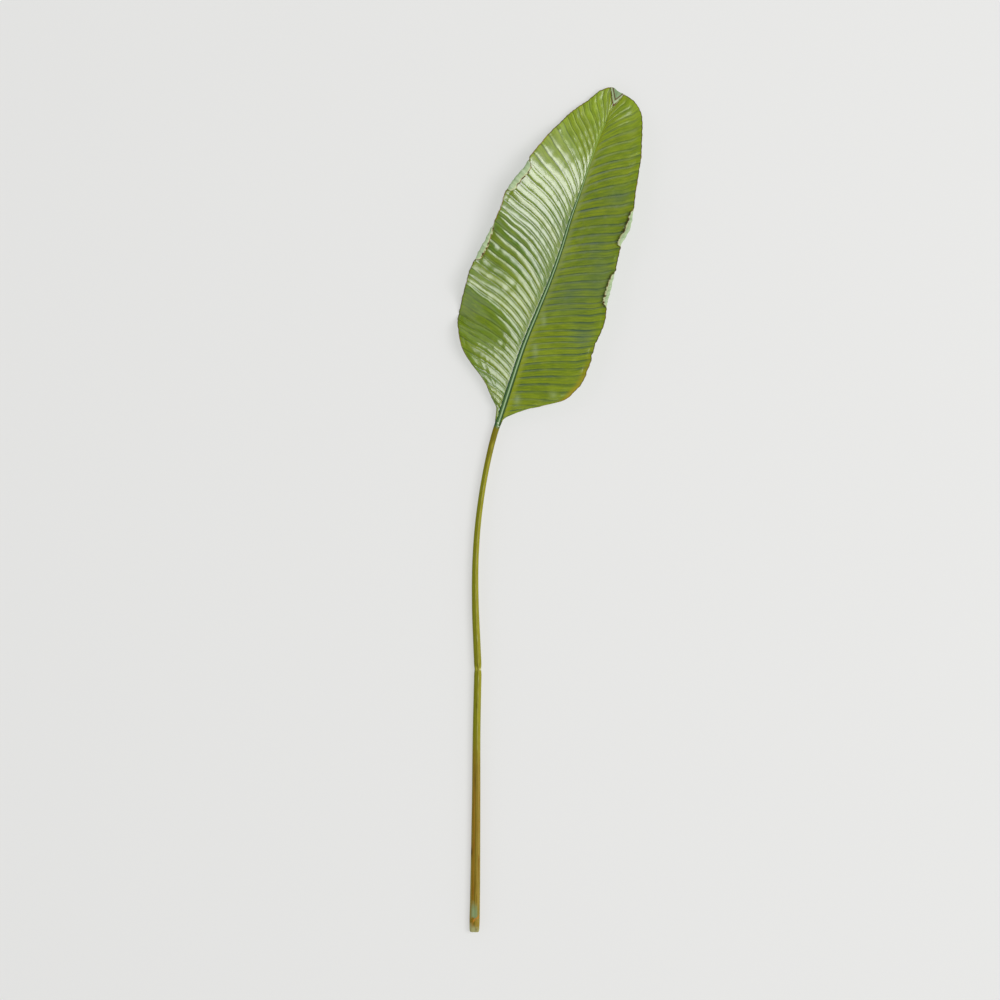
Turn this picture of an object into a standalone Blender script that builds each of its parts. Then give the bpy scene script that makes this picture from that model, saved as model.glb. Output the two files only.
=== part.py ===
"""A banana leaf lying on its back: the ribbed blade, its midrib and the long stalk, grown as one piece."""

import math

import bmesh
import bpy
import numpy as np

MM = 0.001
NAME = "banana_leaf"

# Blade sheet, millimetres
SHEET_THICK = 0.9
RIBS = 44
BLADE_START = 722.0
BLADE_LENGTH = 500.0
BLADE_HEEL = -0.012

# The last ribs crowd towards the tip: by which share of the blade, and from which share on
TIP_CROWD = 0.055
TIP_CROWD_FROM = 0.8

# A rib hooks towards the tip near its end: length, most of it as a share of the rib, where it starts
RIB_HOOK = 5.0
HOOK_SHARE = 0.1
HOOK_FROM = 0.75

# Strip along the margin with columns of its own: width, most of it as a share of the half blade
MARGIN_BAND = 8.0
BAND_SHARE = 0.35

# Rolled edge: radius along most of the margin and at the tip, where it tightens, how far it turns,
# over which share of the rib its direction is taken, and the direction at the tip
CURL_RADIUS = 3.0
TIP_RADIUS = 1.6
TIGHT_FROM = 0.93
TIGHT_TO = 0.96
CURL_TURN = math.radians(184)
LOOK_BACK = 0.04
TIP_OUT = (0.35, 0.935, 0.05)

# The sheet bellies between its ribs: depth, roundness, and where it is flatter, as shares across and along
PLEAT_DEPTH = 1.15
PLEAT_ROUND = 0.38
PLEAT_FULL = 0.14
PLEAT_MARGIN = 0.85
PLEAT_MARGIN_LOSS = 0.35
PLEAT_HEEL = 0.3
PLEAT_HEEL_END = 0.10
PLEAT_TIP = 0.86
PLEAT_TIP_LOSS = 0.65

# Rows of the sheet from rib to rib, and its columns: shares of the half width, then steps over the
# margin band and the rolled edge
ROW_STEP = 0.5
MAIN_COLUMNS = (0.0, 0.09, 0.24, 0.42, 0.60, 0.77)
BAND_STEPS = (0.0, 0.32, 0.58, 0.78, 0.92, 1.0)
ROLL_STEPS = (0.0, 0.0, 0.12, 0.35, 0.60, 1.0)

# Middle line of the stalk and the midrib from the cut end to the tip, as x, y and height
SPINE = (
    (-107.2, -599.6, 6.0),
    (-106.3, -553.3, 6.1),
    (-105.4, -482.5, 6.4),
    (-104.6, -397.5, 7.0),
    (-104.0, -312.4, 7.8),
    (-102.9, -258.6, 8.4),
    (-102.3, -226.0, 8.8),
    (-103.6, -192.0, 9.1),
    (-105.8, -135.3, 9.7),
    (-105.8, -78.6, 10.2),
    (-102.6, -26.2, 10.6),
    (-96.6, 22.0, 10.9),
    (-88.6, 65.9, 11.0),
    (-79.4, 104.1, 11.0),
    (-69.0, 136.7, 10.7),
    (-53.8, 183.5, 9.5),
    (-36.1, 235.9, 8.0),
    (-16.3, 284.1, 7.2),
    (2.8, 331.6, 7.2),
    (15.6, 367.7, 7.6),
    (29.8, 413.8, 8.8),
    (45.3, 457.0, 10.0),
    (58.1, 495.2, 10.5),
    (70.9, 530.7, 10.0),
    (79.4, 550.5, 9.3),
    (91.0, 579.0, 8.0),
    (97.0, 593.0, 7.3),
)

# Share along the blade against the rib number that stands there
RIB_PLACES = ((0.0, 0.0), (0.40, 20.0), (0.55, 26.5), (1.0, 44.0))

# Outer line of each half: share along the blade, x, y
LEFT_MARGIN = (
    (-0.012, -77.9, 122.6),
    (0.0, -77.4, 129.7),
    (0.02, -76.2, 148.0),
    (0.04, -84.4, 162.5),
    (0.084, -96.4, 186.3),
    (0.109, -119.0, 217.5),
    (0.151, -130.1, 254.4),
    (0.205, -128.6, 281.4),
    (0.251, -119.8, 316.9),
    (0.291, -114.3, 336.8),
    (0.34, -102.2, 364.0),
    (0.40, -84.2, 397.0),
    (0.456, -72.3, 420.9),
    (0.533, -60.2, 454.8),
    (0.585, -43.2, 477.0),
    (0.641, -24.3, 504.0),
    (0.691, -3.3, 530.4),
    (0.719, 8.8, 543.0),
    (0.79, 30.2, 564.0),
    (0.87, 54.6, 581.5),
    (0.91, 71.4, 594.6),
    (0.95, 86.2, 599.6),
    (0.975, 92.0, 597.5),
    (1.0, 97.1, 592.6),
)
RIGHT_MARGIN = (
    (-0.012, -71.3, 115.5),
    (0.0, -66.6, 127.5),
    (0.025, -40.0, 140.0),
    (0.061, -6.8, 147.8),
    (0.082, 22.0, 155.6),
    (0.099, 34.2, 166.2),
    (0.114, 42.2, 174.5),
    (0.131, 48.8, 185.6),
    (0.163, 55.8, 203.2),
    (0.22, 64.0, 231.9),
    (0.276, 73.0, 252.9),
    (0.301, 78.2, 267.4),
    (0.332, 79.8, 283.8),
    (0.369, 83.2, 297.9),
    (0.401, 87.9, 315.3),
    (0.475, 96.0, 352.8),
    (0.515, 99.8, 369.1),
    (0.535, 104.6, 379.5),
    (0.556, 111.2, 390.8),
    (0.583, 115.8, 403.9),
    (0.641, 119.6, 435.7),
    (0.70, 124.8, 471.2),
    (0.76, 129.0, 498.1),
    (0.82, 130.4, 529.3),
    (0.87, 130.6, 557.6),
    (0.90, 126.4, 570.0),
    (0.93, 119.0, 580.0),
    (0.96, 107.0, 587.9),
    (1.0, 97.1, 592.6),
)

# Height of each half over the midrib: share along the blade, near the midrib, further out, at the margin
LEFT_RISE = (
    (-0.012, 0.0, 0.0, 0.0),
    (0.05, 2.3, 4.5, 5.5),
    (0.09, 4.0, 7.5, 9.0),
    (0.13, 7.0, 11.5, 12.0),
    (0.16, 8.5, 12.5, 11.5),
    (0.20, 10.0, 12.0, 8.0),
    (0.26, 12.0, 12.0, 19.0),
    (0.34, 12.0, 15.0, 22.0),
    (0.44, 12.0, 19.0, 23.0),
    (0.52, 11.5, 20.5, 27.0),
    (0.62, 9.5, 18.0, 25.0),
    (0.66, 8.0, 14.0, 18.5),
    (0.74, 3.0, 3.0, 2.0),
    (0.80, 1.0, 0.0, -1.0),
    (0.86, -0.5, -2.0, -3.0),
    (0.94, -1.0, -2.0, -3.0),
    (1.0, 0.0, 0.0, 0.0),
)
RIGHT_RISE = (
    (-0.012, 0.0, 0.0, 0.0),
    (0.05, 4.0, 5.0, 5.0),
    (0.10, 6.0, 9.0, 10.0),
    (0.145, 7.0, 11.0, 13.0),
    (0.20, 8.0, 12.5, 15.0),
    (0.28, 8.5, 13.5, 17.0),
    (0.38, 9.0, 14.0, 17.5),
    (0.50, 9.0, 15.0, 19.0),
    (0.64, 8.0, 14.0, 18.0),
    (0.78, 6.0, 9.0, 10.0),
    (0.90, 2.5, 3.2, 2.5),
    (0.95, 1.2, 1.5, 1.0),
    (1.0, 0.0, 0.0, 0.0),
)

# How far the ribs bow towards the tip, as a share of their length
LEFT_BOW = ((-0.012, 0.10), (0.20, 0.14), (0.45, 0.19), (0.70, 0.15), (1.0, 0.0))
RIGHT_BOW = ((-0.012, 0.02), (0.20, 0.045), (0.60, 0.05), (0.85, 0.08), (1.0, 0.0))

# Swells of the margin with sharp crests along a rib: share along the blade, height, and the power of
# the share across with which they grow towards the margin
LEFT_SWELL = (
    (0.08, 0.0),
    (0.15, -1.5),
    (0.186, -13.2),
    (0.20, -16.15),
    (0.214, -13.0),
    (0.251, 3.5),
    (0.34, -7.0),
    (0.456, 8.0),
    (0.52, 1.0),
    (0.64, 1.5),
    (0.70, 0.0),
    (1.0, 0.0),
)
LEFT_SWELL_GROWTH = 1.7
RIGHT_SWELL = (
    (0.0, 0.0),
    (0.83, 0.0),
    (0.865, -3.5),
    (0.897, -11.9),
    (0.925, -3.5),
    (0.95, 0.0),
    (1.0, 0.0),
)
RIGHT_SWELL_GROWTH = 4.5

# Long waves of the margin: height, waves along the blade, where they start
LEFT_WAVES = ((0.8, 11.0, 0.35),)
RIGHT_WAVES = ((1.2, 4.5, 0.60), (0.6, 10.0, 0.15))
WAVE_GROWTH = 2.5
WAVES_FROM = 0.05
WAVES_FULL = 0.30

# Length of the edge that is rolled over on to the upper face: share along the blade, millimetres
LEFT_ROLL = (
    (0.316, 0.0),
    (0.326, 13.5),
    (0.340, 15.6),
    (0.356, 15.7),
    (0.385, 12.8),
    (0.408, 10.0),
    (0.420, 0.0),
    (0.520, 0.0),
    (0.530, 13.5),
    (0.543, 16.4),
    (0.612, 16.4),
    (0.625, 0.0),
    (0.945, 0.0),
    (1.000, 25.5),
)
RIGHT_ROLL = (
    (0.330, 0.0),
    (0.345, 12.5),
    (0.370, 14.1),
    (0.400, 14.0),
    (0.430, 11.0),
    (0.445, 0.0),
    (0.512, 0.0),
    (0.525, 13.0),
    (0.545, 15.6),
    (0.575, 15.0),
    (0.610, 11.5),
    (0.625, 0.0),
    (0.955, 0.0),
    (1.000, 25.5),
)

LEFT_HALF = (LEFT_MARGIN, LEFT_RISE, LEFT_BOW, LEFT_SWELL, LEFT_SWELL_GROWTH, LEFT_WAVES, LEFT_ROLL)
RIGHT_HALF = (RIGHT_MARGIN, RIGHT_RISE, RIGHT_BOW, RIGHT_SWELL, RIGHT_SWELL_GROWTH, RIGHT_WAVES, RIGHT_ROLL)

# Section of the stalk and the midrib: distance from the cut end, half width, height over the
# middle line, depth under it, depth of the groove as a share of that height
SECTION = (
    (0.0, 6.7, 5.2, 6.4, 0.20),
    (8.0, 7.1, 5.7, 6.7, 0.24),
    (46.0, 7.1, 5.8, 6.7, 0.26),
    (117.0, 6.6, 5.5, 6.3, 0.28),
    (188.0, 6.1, 5.1, 5.9, 0.28),
    (301.0, 5.5, 4.7, 5.4, 0.28),
    (443.0, 5.1, 4.3, 5.1, 0.28),
    (528.0, 4.5, 3.9, 4.9, 0.26),
    (671.0, 4.1, 3.2, 4.9, 0.22),
    (722.0, 4.3, 2.7, 5.2, 0.20),
    (782.0, 4.1, 2.1, 5.2, 0.16),
    (850.0, 3.6, 1.8, 4.7, 0.14),
    (900.0, 3.2, 1.6, 4.2, 0.12),
    (1000.0, 2.5, 1.35, 3.2, 0.08),
    (1100.0, 1.7, 1.05, 2.1, 0.0),
    (1178.0, 1.1, 0.8, 1.4, 0.0),
)
SPINE_END = 1178.0

# Angles of the corners of the section, how square it is below and above, how wide the groove is
SECTION_ANGLES = (0, 28, 58, 90, 122, 152, 180, 206, 232, 251, 270, 289, 308, 334)
UNDER_SQUARENESS = 0.7
UPPER_SQUARENESS = 0.85
GROOVE_ANGLE = 0.35

# The rim of the cut end is rounded: length, and size of the cut face against the section
CUT_RIM = 2.5
CUT_SIZE = 0.86

# Old fold across the stalk, and its own sections either side of it in widths of the fold
CREASE_AT = 373.0
CREASE_WIDTH = 4.0
CREASE_DEPTH = 0.13
CREASE_STATIONS = (-1.5, -0.7, 0.0, 0.7, 1.5, 3.0)
CREASE_GAP_BELOW = 3.0
CREASE_GAP_ABOVE = 7.0
STATIONS_BELOW = 16
STATIONS_ABOVE = 38

# Points closer than this are one point
WELD = 0.01

LEAF_COLOUR = (0.155, 0.235, 0.028, 1.0)
LEAF_ROUGHNESS = 0.38


def smooth(table, at):
    """Smooth curve through the rows of a table, whose first column says where each row stands."""
    rows = np.array(table, float)
    knots = rows[:, 0]
    values = rows[:, 1:]
    slopes = np.gradient(values, knots, axis=0)
    at = np.clip(np.asarray(at, float), knots[0], knots[-1])
    i = np.clip(np.searchsorted(knots, at, side="right") - 1, 0, len(knots) - 2)
    gap = (knots[i + 1] - knots[i])[..., None]
    f = (at - knots[i])[..., None] / gap
    start = values[i] * (1 + 2 * f) * (1 - f) ** 2 + slopes[i] * gap * f * (1 - f) ** 2
    end = values[i + 1] * f * f * (3 - 2 * f) - slopes[i + 1] * gap * f * f * (1 - f)
    return start + end


def ease(low, high, x):
    """Rises from 0 at low to 1 at high with level ends."""
    f = np.clip((x - low) / (high - low), 0.0, 1.0)
    return f * f * (3 - 2 * f)


def unit(vectors):
    """The same directions with length one."""
    return vectors / np.linalg.norm(vectors, axis=-1, keepdims=True)


def spine(distance):
    """Point of the middle line at a distance from the cut end."""
    points = np.array(SPINE)
    steps = np.linalg.norm(np.diff(points, axis=0), axis=1)
    gone = np.concatenate([[0.0], np.cumsum(steps)])
    return smooth(np.column_stack([gone, points]), distance)


def pleat(u, rib, across):
    """Height of the sheet between its ribs over the line of the ribs."""
    grown = ease(0.0, PLEAT_FULL, across) * (1 - PLEAT_MARGIN_LOSS * ease(PLEAT_MARGIN, 1.0, across))
    heel = PLEAT_HEEL + (1 - PLEAT_HEEL) * ease(0.0, PLEAT_HEEL_END, u)
    along = heel * (1 - PLEAT_TIP_LOSS * ease(PLEAT_TIP, 1.0, u))
    return PLEAT_DEPTH * grown * along * np.abs(np.sin(math.pi * rib)) ** PLEAT_ROUND


def half_blade(margin, rise, bow, swell, growth, waves, roll):
    """Rows of points of one half of the sheet, from the midrib to the end of its rolled edge."""
    ribs = np.arange(0.0, RIBS + ROW_STEP / 2, ROW_STEP)
    places = np.array(RIB_PLACES)
    u = np.interp(ribs, places[:, 1], places[:, 0])
    u = np.concatenate([[BLADE_HEEL], u])[:, None]
    ribs = np.concatenate([[0.0], ribs])[:, None]
    crowd = TIP_CROWD * np.clip((u - TIP_CROWD_FROM) / (1 - TIP_CROWD_FROM), 0, 1) ** 2
    along_mm = BLADE_START + BLADE_LENGTH * (u - crowd)
    root = spine(along_mm)
    edge = smooth(margin, u)
    along = unit(np.gradient(edge[:, 0], axis=0))[:, None]
    reach = edge - root[..., :2]
    width = np.linalg.norm(reach, axis=-1)
    towards_tip = np.stack([-reach[..., 1], reach[..., 0]], axis=-1) / width[..., None]
    forward = np.sign(np.sum(towards_tip * along, axis=-1, keepdims=True))
    bend = (root[..., :2] + edge) / 2 + towards_tip * forward * smooth(bow, u) * width[..., None]
    hook = np.minimum(RIB_HOOK, HOOK_SHARE * width)[..., None]
    heights = smooth(rise, u)
    ridge = smooth(SECTION, along_mm[:, 0])[:, :1]
    swell_at, swell_height = np.array(swell).T

    def surface(t):
        """Bowed rib from the midrib to the margin, lifted by its rise, the swells and the waves."""
        s = t[..., None]
        flat = root[..., :2] * (1 - s) ** 2 + bend * 2 * s * (1 - s) + (edge - hook * along) * s * s
        flat = flat + hook * along * ease(HOOK_FROM, 1.0, s) * s
        near, far, end = (heights[..., k] for k in range(3))
        free = np.clip((t * width - ridge) / (width - ridge), 0, 1)
        lift = 3 * (1 - free) ** 2 * free * near + 3 * (1 - free) * free * free * far + free**3 * end
        lift = lift + np.interp(u, swell_at, swell_height) * free**growth
        for height, number, start in waves:
            wave = np.sin(2 * math.pi * (number * u + start)) * ease(WAVES_FROM, WAVES_FULL, u)
            lift = lift + height * wave * free**WAVE_GROWTH
        return np.concatenate([flat, (root[..., 2] + lift)[..., None]], axis=-1)

    radius = np.interp(u, (TIGHT_FROM, TIGHT_TO), (CURL_RADIUS, TIP_RADIUS))
    roll_at, roll_length = np.array(roll).T
    past = np.interp(u, roll_at, roll_length)
    inset = radius * np.sin(np.minimum(past / radius, math.pi / 2))
    band = np.minimum(MARGIN_BAND, BAND_SHARE * width)
    last = 1 - (band + inset) / width
    main = np.array(MAIN_COLUMNS) * last
    travel = band * np.array(BAND_STEPS) + past * np.array(ROLL_STEPS)
    flat_t = 1 - (inset + np.maximum(band - travel, 0)) / width
    t = np.concatenate([main, flat_t], axis=1)
    points = surface(t)

    start = surface(1 - inset / width)
    out = unit(start - surface(1 - inset / width - LOOK_BACK))
    out = unit(out + (np.array(TIP_OUT) - out) * ease(TIGHT_FROM, TIGHT_TO, u)[..., None])
    side = unit(np.gradient(start[:, 0], axis=0))[:, None]
    up = np.cross(out, side)
    up = unit(up * np.sign(up[..., 2:]))
    beyond = np.maximum(travel - band, 0)[..., None]
    bend_radius = radius[..., None]
    angle = np.minimum(beyond / bend_radius, CURL_TURN)
    ahead = np.maximum(beyond - bend_radius * CURL_TURN, 0)
    forth = bend_radius * np.sin(angle) + ahead * np.cos(angle)
    aloft = bend_radius * (1 - np.cos(angle)) + ahead * np.sin(angle)
    rolled = start + out * forth + up * aloft
    band_columns = slice(len(MAIN_COLUMNS), None)
    points[:, band_columns] = np.where(beyond > 0, rolled, points[:, band_columns])

    normal = np.cross(np.gradient(points, axis=0), np.gradient(points, axis=1))
    normal = unit(normal) * np.sign(normal[:, 1:2, 2:])
    return points + normal * pleat(u, ribs, np.minimum(t, 1.0))[..., None]


def grid_object(name, points, material):
    """Object made of a grid moved to rows and columns of points."""
    rows, columns = points.shape[:2]
    work = bmesh.new()
    bmesh.ops.create_grid(work, x_segments=rows - 1, y_segments=columns - 1, size=1.0)
    order = sorted(work.verts, key=lambda v: (round(v.co.x, 5), round(v.co.y, 5)))
    for vert, place in zip(order, points.reshape(-1, 3)):
        vert.co = place * MM
    mesh = bpy.data.meshes.new(name)
    work.to_mesh(mesh)
    work.free()
    mesh.materials.append(material)
    return bpy.data.objects.new(name, mesh)


def weld(work, faces_up):
    """Joins the points that coincide and turns every face the same way."""
    bmesh.ops.remove_doubles(work, verts=work.verts, dist=WELD * MM)
    bmesh.ops.recalc_face_normals(work, faces=work.faces)
    if faces_up and sum(face.normal.z * face.calc_area() for face in work.faces) < 0:
        bmesh.ops.reverse_faces(work, faces=work.faces)


def blade(material):
    """The two halves welded along the midrib and at the tip, split alike and given thickness."""
    left = half_blade(*LEFT_HALF)
    right = half_blade(*RIGHT_HALF)
    shared = (left[-1] + right[-1]) / 2
    left[-1] = shared
    right[-1] = shared
    middle = (left[:, 0] + right[:, 0]) / 2
    left[:, 0] = middle
    right[:, 0] = middle
    work = bmesh.new()
    for half in (left, right):
        piece = grid_object("half", half, material)
        work.from_mesh(piece.data)
        bpy.data.objects.remove(piece)
    weld(work, True)
    bmesh.ops.triangulate(work, faces=work.faces)
    mesh = bpy.data.meshes.new("blade")
    work.to_mesh(mesh)
    work.free()
    mesh.materials.append(material)
    sheet = bpy.data.objects.new("blade", mesh)
    thick = sheet.modifiers.new("thickness", "SOLIDIFY")
    thick.thickness = SHEET_THICK * MM
    thick.offset = 0.0
    return sheet


def spine_stations():
    """Distances of the sections along the stalk and the midrib, close together at the old fold."""
    lower = np.linspace(0.0, CREASE_AT - CREASE_GAP_BELOW * CREASE_WIDTH, STATIONS_BELOW)
    fold = CREASE_AT + CREASE_WIDTH * np.array(CREASE_STATIONS)
    upper = np.linspace(CREASE_AT + CREASE_GAP_ABOVE * CREASE_WIDTH, SPINE_END, STATIONS_ABOVE)
    return np.concatenate([[0.0, CUT_RIM], lower[1:], fold, upper])


def stalk(material):
    """The stalk and the midrib: one grooved section swept from the cut end to the tip."""
    at = spine_stations()
    middle = spine(at)
    out = np.gradient(middle, axis=0)
    sideways = unit(np.stack([out[:, 1], -out[:, 0], np.zeros(len(at))], axis=1))
    sizes = smooth(SECTION, at)
    crease = 1 - CREASE_DEPTH * np.exp(-(((at - CREASE_AT) / CREASE_WIDTH) ** 2))
    half, over, under, groove = (sizes[:, k, None] for k in range(4))
    angles = np.radians(SECTION_ANGLES)[None]
    sine = np.sin(angles)
    dip = 1 - groove * np.exp(-(((angles - math.pi / 2) / GROOVE_ANGLE) ** 2))
    above = over * np.abs(sine) ** UPPER_SQUARENESS * dip * crease[:, None]
    below = -under * np.abs(sine) ** UNDER_SQUARENESS
    height = np.where(sine >= 0, above, below)
    across = half * np.cos(angles) * crease[:, None]
    rounding = np.ones(len(at))
    rounding[0] = CUT_SIZE
    rings = middle[:, None] + sideways[:, None] * (across * rounding[:, None])[..., None]
    rings[..., 2] += height * rounding[:, None]
    closed = np.concatenate([rings, rings[:, :1]], axis=1)
    tube = grid_object("stalk", closed, material)
    work = bmesh.new()
    work.from_mesh(tube.data)
    weld(work, False)
    bmesh.ops.holes_fill(work, edges=[edge for edge in work.edges if edge.is_boundary])
    weld(work, False)
    bmesh.ops.triangulate(work, faces=work.faces)
    work.to_mesh(tube.data)
    work.free()
    return tube


def fill_hollows(mesh):
    """Keeps the outer skin only, so that the small hollows where midrib and sheet meet are solid."""
    work = bmesh.new()
    work.from_mesh(mesh)
    waiting = set(work.faces)
    skins = []
    for first in work.faces:
        if first not in waiting:
            continue
        waiting.discard(first)
        skin = [first]
        for face in skin:
            beside = {other for edge in face.edges for other in edge.link_faces} & waiting
            waiting -= beside
            skin.extend(beside)
        skins.append(skin)
    skins.sort(key=len)
    for skin in skins[:-1]:
        bmesh.ops.delete(work, geom=skin, context="FACES")
    work.to_mesh(mesh)
    work.free()


def press_flat(mesh):
    """Sets what would sink into the ground level with it: the spot under the stalk and two low margins."""
    work = bmesh.new()
    work.from_mesh(mesh)
    for vert in work.verts:
        vert.co.z = max(vert.co.z, 0.0)
    work.to_mesh(mesh)
    work.free()


def main():
    """Clears the scene, grows the blade and the stalk and joins them into the leaf."""
    for old in list(bpy.data.objects):
        bpy.data.objects.remove(old)
    scene = bpy.context.scene
    scene.unit_settings.system = "METRIC"
    material = bpy.data.materials.new(NAME)
    material.use_nodes = True
    shader = material.node_tree.nodes["Principled BSDF"]
    shader.inputs["Base Color"].default_value = LEAF_COLOUR
    shader.inputs["Roughness"].default_value = LEAF_ROUGHNESS
    shader.inputs["Metallic"].default_value = 0.0
    whole = bpy.data.collections.new(NAME + "_set")
    helpers = bpy.data.collections.new("joined")
    scene.collection.children.link(whole)
    scene.collection.children.link(helpers)
    sheet = blade(material)
    tube = stalk(material)
    helpers.objects.link(sheet)
    whole.objects.link(tube)
    bpy.context.view_layer.update()
    join = tube.modifiers.new("join", "BOOLEAN")
    join.operation = "UNION"
    join.operand_type = "COLLECTION"
    join.collection = helpers
    join.solver = "MANIFOLD"
    bpy.context.view_layer.update()
    graph = bpy.context.evaluated_depsgraph_get()
    mesh = bpy.data.meshes.new_from_object(tube.evaluated_get(graph))
    fill_hollows(mesh)
    press_flat(mesh)
    mesh.name = NAME
    leaf = bpy.data.objects.new(NAME, mesh)
    mesh.materials.clear()
    mesh.materials.append(material)
    whole.objects.link(leaf)
    for helper in (sheet, tube):
        bpy.data.objects.remove(helper)


main()
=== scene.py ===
"""Banana leaf on a pale studio floor: the waxy ribbed blade, its pale midrib and the long olive stalk."""

import math

import bpy
import numpy as np
from bpy.props import FloatProperty, FloatVectorProperty, IntProperty, PointerProperty
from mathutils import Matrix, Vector


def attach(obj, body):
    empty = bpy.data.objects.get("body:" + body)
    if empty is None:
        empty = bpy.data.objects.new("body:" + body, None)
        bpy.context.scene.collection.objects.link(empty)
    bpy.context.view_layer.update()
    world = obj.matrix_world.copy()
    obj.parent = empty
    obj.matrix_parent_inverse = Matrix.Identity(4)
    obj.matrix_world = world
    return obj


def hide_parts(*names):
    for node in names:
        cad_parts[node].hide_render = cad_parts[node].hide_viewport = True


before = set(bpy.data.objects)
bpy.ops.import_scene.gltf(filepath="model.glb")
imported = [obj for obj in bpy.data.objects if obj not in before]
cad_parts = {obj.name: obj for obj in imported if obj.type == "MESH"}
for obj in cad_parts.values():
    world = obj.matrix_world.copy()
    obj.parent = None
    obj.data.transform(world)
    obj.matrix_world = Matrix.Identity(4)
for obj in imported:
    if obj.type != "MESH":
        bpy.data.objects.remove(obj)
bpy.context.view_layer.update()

bl_info = {
    "name": "Banana leaf",
    "version": (1, 0, 0),
    "blender": (4, 5, 0),
    "location": "View3D > Sidebar > Banana leaf",
    "description": "Builds a banana leaf with its stalk, and the studio that it lies in",
    "category": "Object",
}

MM = 0.001
NODE = "banana_leaf"
BODY = "root"

# Middle line of the stalk and the midrib from the cut end to the tip, as x, y and height in millimetres
SPINE = (
    (-107.2, -599.6, 6.0), (-106.3, -553.3, 6.1), (-105.4, -482.5, 6.4), (-104.6, -397.5, 7.0),
    (-104.0, -312.4, 7.8), (-102.9, -258.6, 8.4), (-102.3, -226.0, 8.8), (-103.6, -192.0, 9.1),
    (-105.8, -135.3, 9.7), (-105.8, -78.6, 10.2), (-102.6, -26.2, 10.6), (-96.6, 22.0, 10.9),
    (-88.6, 65.9, 11.0), (-79.4, 104.1, 11.0), (-69.0, 136.7, 10.7), (-53.8, 183.5, 9.5),
    (-36.1, 235.9, 8.0), (-16.3, 284.1, 7.2), (2.8, 331.6, 7.2), (15.6, 367.7, 7.6), (29.8, 413.8, 8.8),
    (45.3, 457.0, 10.0), (58.1, 495.2, 10.5), (70.9, 530.7, 10.0), (79.4, 550.5, 9.3),
    (91.0, 579.0, 8.0), (97.0, 593.0, 7.3),
)
BLADE_START = 722.0
BLADE_LENGTH = 500.0
BLADE_HEEL = -0.012

# The last ribs crowd towards the tip: by which share of the blade, and from which share on
TIP_CROWD = 0.055
TIP_CROWD_FROM = 0.8

# A rib hooks towards the tip near its end: length, most of it as a share of the rib, where it starts
RIB_HOOK = 5.0
HOOK_SHARE = 0.1
HOOK_FROM = 0.75

# Strip along the margin with columns of its own: width, most of it as a share of the half blade
MARGIN_BAND = 8.0
BAND_SHARE = 0.35

# Rolled edge: radius along most of the margin and at the tip, where it tightens, how far it turns
CURL_RADIUS = 3.0
TIP_RADIUS = 1.6
TIGHT_FROM = 0.93
TIGHT_TO = 0.96
CURL_TURN = math.radians(184)
LOOK_BACK = 0.04
TIP_OUT = (0.35, 0.935, 0.05)

# Share along the blade against the rib number that stands there
RIB_PLACES = ((0.0, 0.0), (0.40, 20.0), (0.55, 26.5), (1.0, 44.0))
RIBS = 44

# Outer line of each half: share along the blade, x, y
LEFT_MARGIN = (
    (-0.012, -77.9, 122.6), (0.0, -77.4, 129.7), (0.02, -76.2, 148.0), (0.04, -84.4, 162.5),
    (0.084, -96.4, 186.3), (0.109, -119.0, 217.5), (0.151, -130.1, 254.4), (0.205, -128.6, 281.4),
    (0.251, -119.8, 316.9), (0.291, -114.3, 336.8), (0.34, -102.2, 364.0), (0.40, -84.2, 397.0),
    (0.456, -72.3, 420.9), (0.533, -60.2, 454.8), (0.585, -43.2, 477.0), (0.641, -24.3, 504.0),
    (0.691, -3.3, 530.4), (0.719, 8.8, 543.0), (0.79, 30.2, 564.0), (0.87, 54.6, 581.5),
    (0.91, 71.4, 594.6), (0.95, 86.2, 599.6), (0.975, 92.0, 597.5), (1.0, 97.1, 592.6),
)
RIGHT_MARGIN = (
    (-0.012, -71.3, 115.5), (0.0, -66.6, 127.5), (0.025, -40.0, 140.0), (0.061, -6.8, 147.8),
    (0.082, 22.0, 155.6), (0.099, 34.2, 166.2), (0.114, 42.2, 174.5), (0.131, 48.8, 185.6),
    (0.163, 55.8, 203.2), (0.22, 64.0, 231.9), (0.276, 73.0, 252.9), (0.301, 78.2, 267.4),
    (0.332, 79.8, 283.8), (0.369, 83.2, 297.9), (0.401, 87.9, 315.3), (0.475, 96.0, 352.8),
    (0.515, 99.8, 369.1), (0.535, 104.6, 379.5), (0.556, 111.2, 390.8), (0.583, 115.8, 403.9),
    (0.641, 119.6, 435.7), (0.70, 124.8, 471.2), (0.76, 129.0, 498.1), (0.82, 130.4, 529.3),
    (0.87, 130.6, 557.6), (0.90, 126.4, 570.0), (0.93, 119.0, 580.0), (0.96, 107.0, 587.9),
    (1.0, 97.1, 592.6),
)

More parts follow.
